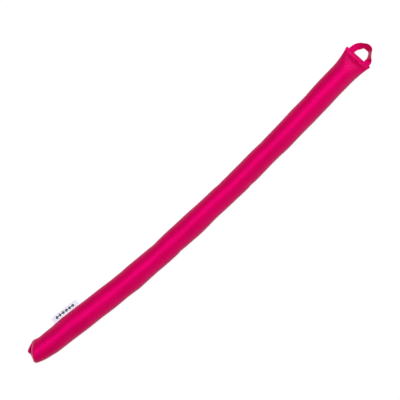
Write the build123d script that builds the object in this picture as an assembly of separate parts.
from build123d import *
import os
from math import cos, pi, radians, sin, sqrt, tan

os.makedirs("parts", exist_ok=True)

# A soft satin wand: a stuffed satin tube with a slight bow, closed at one end and sewn flat into a
# lip at the other, where a tape loop is caught. A folded woven label stands out of the side seam.
# It lies along X on Z = 0, with the loop at the +X end. All sizes are millimetres.

# The stuffed tube
TUBE_LENGTH = 578.5      # closed end to the edge of the lip, along the tube
TUBE_WIDTH = 32.0        # as it lies, a little flattened
TUBE_HEIGHT = 24.0
END_RUN = 170.0          # closed end to the corner of the first bow
END_TURN = 5.4           # degrees, turned at that corner
END_REACH = 45.0         # how far each side of the corner its curve reaches
TOP_RUN = 145.0          # corner of the second bow to the lip
TOP_TURN = 5.2
TOP_REACH = 140.0
FOOT_TRIM = 0.2          # taken off the underside to make it flat

# The closed end, drawn in by its closing stitches
END_ROUND = 14.0         # length over which the tube rounds off
END_FACE_WIDTH = 21.0
END_FACE_HEIGHT = 8.0

# The flat lip at the loop's end, and the neck behind it
LIP_WIDTH = 40.0
LIP_HEIGHT = 2.6
LIP_DEPTH = 8.0
NECK_LENGTH = 34.0

# Cloth and filling
SATIN = 0.5              # satin cover, with the turned layers it lies on
FILL_GAP = 0.3           # between the cover and the filling
FILL_STOP = 14.0         # filling ends this far short of the lip's edge
HEM_CLEARANCE = 0.15     # round the turned-in hem inside the lip
HEM_SETBACK = 0.6        # hem's edge behind the lip's edge

# Bending: the filling is cut into lengths that turn about upright axes
BENDS = 6
FIRST_BEND = 125.0       # closed end to the first axis
LAST_BEND = 74.0         # last axis to the lip's edge
BEND_LIMIT = 20.0        # degrees each way at each axis
BEND_MARGIN = 0.5        # degrees kept free past the limit, on each face
BEND_GAP = 0.5           # between neighbouring lengths of filling, on the axis

# Hanging loop
TAPE_WIDTH = 9.0
TAPE_THICKNESS = 0.7
LEG_OFFSET = 13.0        # tube's middle to the middle of each leg
LOOP_REACH = 21.5        # lip's edge to the tip of the loop
TIP_WIDTH = 7.0          # the folded tape's width at the tip
LOOP_HINGE = 0.8         # lip's edge to the line the loop folds on
TAPE_TUCK = 6.0          # length of each tape end inside the lip
TAPE_CLEARANCE = 0.2

# Side label
LABEL_STATION = 70.0     # closed end to the label's middle
LABEL_LENGTH = 41.0
LABEL_REACH = 8.0        # seam to the label's folded edge
LABEL_THICKNESS = 0.8    # two layers
LABEL_HINGE = 0.8        # tube's side to the line the label folds on

# Thread
THREAD = 0.4
TOPSTITCH_INSET = 3.0    # lip's edge to the row
TOPSTITCH_PITCH = 3.2
TOPSTITCH_LENGTH = 2.5
CLOSING_STITCHES = 5
CLOSING_PITCH = 3.6
CLOSING_LENGTH = 4.0
THREAD_CLEARANCE = 0.05  # between a stitch and the cloth it lies on
SEAM_THREAD = 0.6        # the side seam's thread, with the cloth edge it binds
SEAM_DEPTH = 0.5         # cover's inside to that thread

CENTRE_HEIGHT = TUBE_HEIGHT / 2
HINGE_GAP = 0.1          # a moving piece starts this far past its fold line
OVERRUN = 1.0            # a cutter reaches this far past what it cuts


def make_spine():
    """Centre line: straight runs joined by two shallow arcs, in the plane of the tube's middle."""
    middle_run = TUBE_LENGTH - END_RUN - TOP_RUN
    first = Vector(-middle_run / 2, 0, CENTRE_HEIGHT)
    second = Vector(middle_run / 2, 0, CENTRE_HEIGHT)
    start = first + Vector(-cos(radians(END_TURN)), sin(radians(END_TURN)), 0) * END_RUN
    stop = second + Vector(cos(radians(TOP_TURN)), sin(radians(TOP_TURN)), 0) * TOP_RUN
    radii = [END_REACH / tan(radians(END_TURN / 2)), TOP_REACH / tan(radians(TOP_TURN / 2))]
    return FilletPolyline(start, first, second, stop, radius=radii)


SPINE = make_spine()
LENGTH = SPINE.length


def station_plane(station, sideways=0.0):
    """Plane square to the spine: its x runs across the tube to the seam side, its y runs up."""
    held = min(max(station, 0.0), LENGTH)
    point = SPINE.position_at(held / LENGTH)
    along = SPINE.tangent_at(held / LENGTH)
    across = Vector(0, 0, 1).cross(along)
    origin = point + along * (station - held) + across * sideways
    return Plane(origin=origin, x_dir=across, z_dir=along)


def tube_size(station):
    """Width and height of the stuffed tube at a distance from the closed end."""
    from_lip = LENGTH - LIP_DEPTH - station
    if station < END_ROUND:
        grown = sqrt(max(0.0, 1 - (1 - max(station, 0.0) / END_ROUND) ** 2))
        width = END_FACE_WIDTH + (TUBE_WIDTH - END_FACE_WIDTH) * grown
        return width, END_FACE_HEIGHT + (TUBE_HEIGHT + FOOT_TRIM - END_FACE_HEIGHT) * grown
    if from_lip < NECK_LENGTH:
        share = max(from_lip, 0.0) / NECK_LENGTH
        width = TUBE_WIDTH + (LIP_WIDTH - TUBE_WIDTH) * (1 - share) ** 2
        return width, LIP_HEIGHT + (TUBE_HEIGHT + FOOT_TRIM - LIP_HEIGHT) * sin(share * pi / 2)
    return TUBE_WIDTH, TUBE_HEIGHT + FOOT_TRIM


def tube_stations():
    """Distances from the closed end at which the tube's section is drawn."""
    ends = [END_ROUND * share for share in (0, 0.08, 0.25, 0.5, 0.75, 1)]
    neck_start = LENGTH - LIP_DEPTH - NECK_LENGTH
    steps = 15
    middle = [END_ROUND + (neck_start - END_ROUND) * i / steps for i in range(1, steps)]
    neck = [neck_start + NECK_LENGTH * share for share in (0, 0.25, 0.5, 0.7, 0.85, 1)]
    return ends + middle + neck + [LENGTH]


def tube_solid(inset, stop=None):
    """The tube's outer shape drawn in by inset all round, from its closed end to a station."""
    stop = LENGTH if stop is None else stop
    stations = [s for s in tube_stations() if s < min(stop, LENGTH) - 0.5] + [stop]
    sections = []
    for station in stations:
        width, height = tube_size(station)
        drawn = max(station, inset * (1 - station / END_ROUND) + station)
        lowered = -FOOT_TRIM / 2 if height > TUBE_HEIGHT else 0.0
        outline = Pos(0, lowered) * SlotOverall(width - 2 * inset, height - 2 * inset)
        sections.append(station_plane(drawn) * outline)
    solid = loft(sections, ruled=True)
    return split(solid, bisect_by=Plane.XY.offset(inset), keep=Keep.TOP)


def make_cover():
    """Satin cover: open only at the lip, where its two layers lie close together."""
    return tube_solid(0.0) - tube_solid(SATIN, LENGTH + OVERRUN)


def bend_stations():
    pitch = (LENGTH - FIRST_BEND - LAST_BEND) / (BENDS - 1)
    return [FIRST_BEND + pitch * i for i in range(BENDS)]


def bend_cutter(station):
    """Bow-tie gap that lets two lengths of filling turn to the limit each way."""
    reach = TUBE_WIDTH / 2 + OVERRUN
    spread = BEND_GAP / 2 + reach * tan(radians(BEND_LIMIT / 2 + BEND_MARGIN))
    waist = BEND_GAP / 2
    corners = [(-spread, reach), (-waist, 0), (-spread, -reach)]
    corners += [(spread, -reach), (waist, 0), (spread, reach)]
    outline = make_face(Polyline(*corners, close=True))
    frame = station_plane(station)
    flat = Plane(origin=frame.origin, x_dir=frame.z_dir, z_dir=(0, 0, 1))
    return flat * extrude(outline, amount=TUBE_HEIGHT, both=True)


def side_rod(diameter):
    """Round rod just inside the cover along the tube's seam side, from end rounding to neck."""
    start = END_ROUND
    stop = LENGTH - LIP_DEPTH - NECK_LENGTH
    sideways = TUBE_WIDTH / 2 - SATIN - SEAM_DEPTH - SEAM_THREAD / 2
    stations = [start] + [s for s in tube_stations() if start + 1 < s < stop - 1] + [stop]
    sections = [station_plane(s, sideways) * Circle(diameter / 2) for s in stations]
    return loft(sections, ruled=True)


def make_seam_thread():
    """Thread that closes the side seam, inside the cover."""
    return side_rod(SEAM_THREAD)


def make_filling():
    """Fibre filling as one length per bending section, with a channel for the side seam."""
    filling = tube_solid(SATIN + FILL_GAP, LENGTH - FILL_STOP)
    filling -= side_rod(SEAM_THREAD + 2 * FILL_GAP)
    for station in bend_stations():
        filling -= bend_cutter(station)
    return filling.solids().sort_by(Axis.X)


def across_lip(offset):
    return station_plane(LENGTH, offset)


def make_lip_hem():
    """Cover's own edge turned in between the lip's two layers, notched round the tape ends."""
    inset = SATIN + HEM_CLEARANCE
    outline = SlotOverall(LIP_WIDTH - 2 * inset, LIP_HEIGHT - 2 * inset)
    depth = LIP_DEPTH - HEM_SETBACK
    hem = station_plane(LENGTH - LIP_DEPTH) * extrude(outline, amount=depth)
    notch = Box(TAPE_WIDTH + 2 * TAPE_CLEARANCE, LIP_HEIGHT, 2 * (TAPE_TUCK + TAPE_CLEARANCE))
    for side in (-1, 1):
        hem -= across_lip(side * LEG_OFFSET) * notch
    return hem


def make_tape_ends():
    """The two ends of the loop's tape, held in the lip."""
    end = Box(TAPE_WIDTH, TAPE_THICKNESS, TAPE_TUCK, align=(Align.CENTER, Align.CENTER, Align.MAX))
    return Compound(children=[across_lip(side * LEG_OFFSET) * end for side in (-1, 1)])


def lip_frame():
    """Plane flat in the lip at its edge: x along the tube, y to the seam side."""
    edge = station_plane(LENGTH)
    return Plane(origin=edge.origin, x_dir=edge.z_dir, z_dir=(0, 0, 1))


def make_loop():
    """Free part of the tape, bent round into an eye that lies flat with the lip."""
    leg = TAPE_WIDTH / 2
    outer = Ellipse(LOOP_REACH, LEG_OFFSET + leg)
    inner = Ellipse(LOOP_REACH - TIP_WIDTH, LEG_OFFSET - leg)
    start = LOOP_HINGE + HINGE_GAP
    keep = Pos(start, 0) * Rectangle(LOOP_REACH, 3 * LEG_OFFSET, align=(Align.MIN, Align.CENTER))
    band = (outer - inner) & keep
    return lip_frame() * extrude(band, amount=TAPE_THICKNESS / 2, both=True)


def make_topstitches():
    """Row of machine stitches through the lip, one bar on each face for each stitch."""
    count = int((LIP_WIDTH - LIP_HEIGHT - TOPSTITCH_LENGTH) / TOPSTITCH_PITCH) + 1
    height = LIP_HEIGHT / 2 + THREAD_CLEARANCE + THREAD / 2
    bar = Rot(90, 0, 0) * Cylinder(THREAD / 2, TOPSTITCH_LENGTH)
    bars = []
    for i in range(count):
        across = (i - (count - 1) / 2) * TOPSTITCH_PITCH
        for side in (-1, 1):
            bars.append(lip_frame() * Pos(-TOPSTITCH_INSET, across, side * height) * bar)
    return Compound(children=bars)


def make_closing_stitches():
    """Hand stitches over the turned-in mouth of the closed end."""
    bars = []
    out = -(THREAD / 2 + THREAD_CLEARANCE)
    for i in range(CLOSING_STITCHES):
        across = (i - (CLOSING_STITCHES - 1) / 2) * CLOSING_PITCH
        bar = Rot(90, 0, 0) * Cylinder(THREAD / 2, CLOSING_LENGTH)
        bars.append(station_plane(0.0) * Pos(across, 0, out) * bar)
    return Compound(children=bars)


def label_frame():
    """Plane flat in the label at its fold line: x along the seam, y away from the tube."""
    edge = station_plane(LABEL_STATION, TUBE_WIDTH / 2 + LABEL_HINGE)
    return Plane(origin=edge.origin, x_dir=edge.z_dir, z_dir=(0, 0, 1))


def make_label():
    """Woven label folded in two, standing out of the side seam."""
    flap = Box(LABEL_LENGTH, LABEL_REACH - LABEL_HINGE - HINGE_GAP, LABEL_THICKNESS,
               align=(Align.CENTER, Align.MIN, Align.CENTER))
    fold = flap.edges().filter_by(Axis.X).group_by(Axis.Y)[-1]
    flap = fillet(fold, LABEL_THICKNESS * 0.45)
    return label_frame() * Pos(0, HINGE_GAP, 0) * flap


def make_parts():
    """Every node by name, in the frame the spine is drawn in."""
    parts = {"satin_cover": make_cover(), "side_seam_thread": make_seam_thread()}
    for number, length in enumerate(make_filling(), start=1):
        parts[f"fibre_filling_{number}"] = length
    parts["lip_hem"] = make_lip_hem()
    parts["lip_topstitches"] = make_topstitches()
    parts["closing_stitches"] = make_closing_stitches()
    parts["tape_ends"] = make_tape_ends()
    parts["hanging_loop"] = make_loop()
    parts["side_label"] = make_label()
    return parts


def centring(parts):
    """Move that puts the middle of the whole object's footprint on the origin."""
    box = Compound(children=[Compound(shape.solids()) for shape in parts.values()]).bounding_box()
    middle = box.center()
    return Pos(-middle.X, -middle.Y, 0)


PARTS = make_parts()
CENTRED = centring(PARTS)
for name, shape in PARTS.items():
    solids = (CENTRED * shape).solids()
    placed = solids[0] if len(solids) == 1 else Compound(solids)
    export_step(placed, f"parts/{name}.step")


def places():
    """Points and directions, by name, that the joints and mounts are stated by."""
    frames = {f"bend_{i + 1}": station_plane(s) for i, s in enumerate(bend_stations())}
    frames["lip"] = lip_frame()
    frames["label"] = label_frame()
    frames["middle"] = station_plane(LENGTH / 2)
    shift = CENTRED.position
    return {name: (frame.origin + shift, frame.x_dir, frame.z_dir) for name, frame in frames.items()}


for name, vectors in places().items():
    print(name, *[[round(value, 4) for value in vector] for vector in vectors])
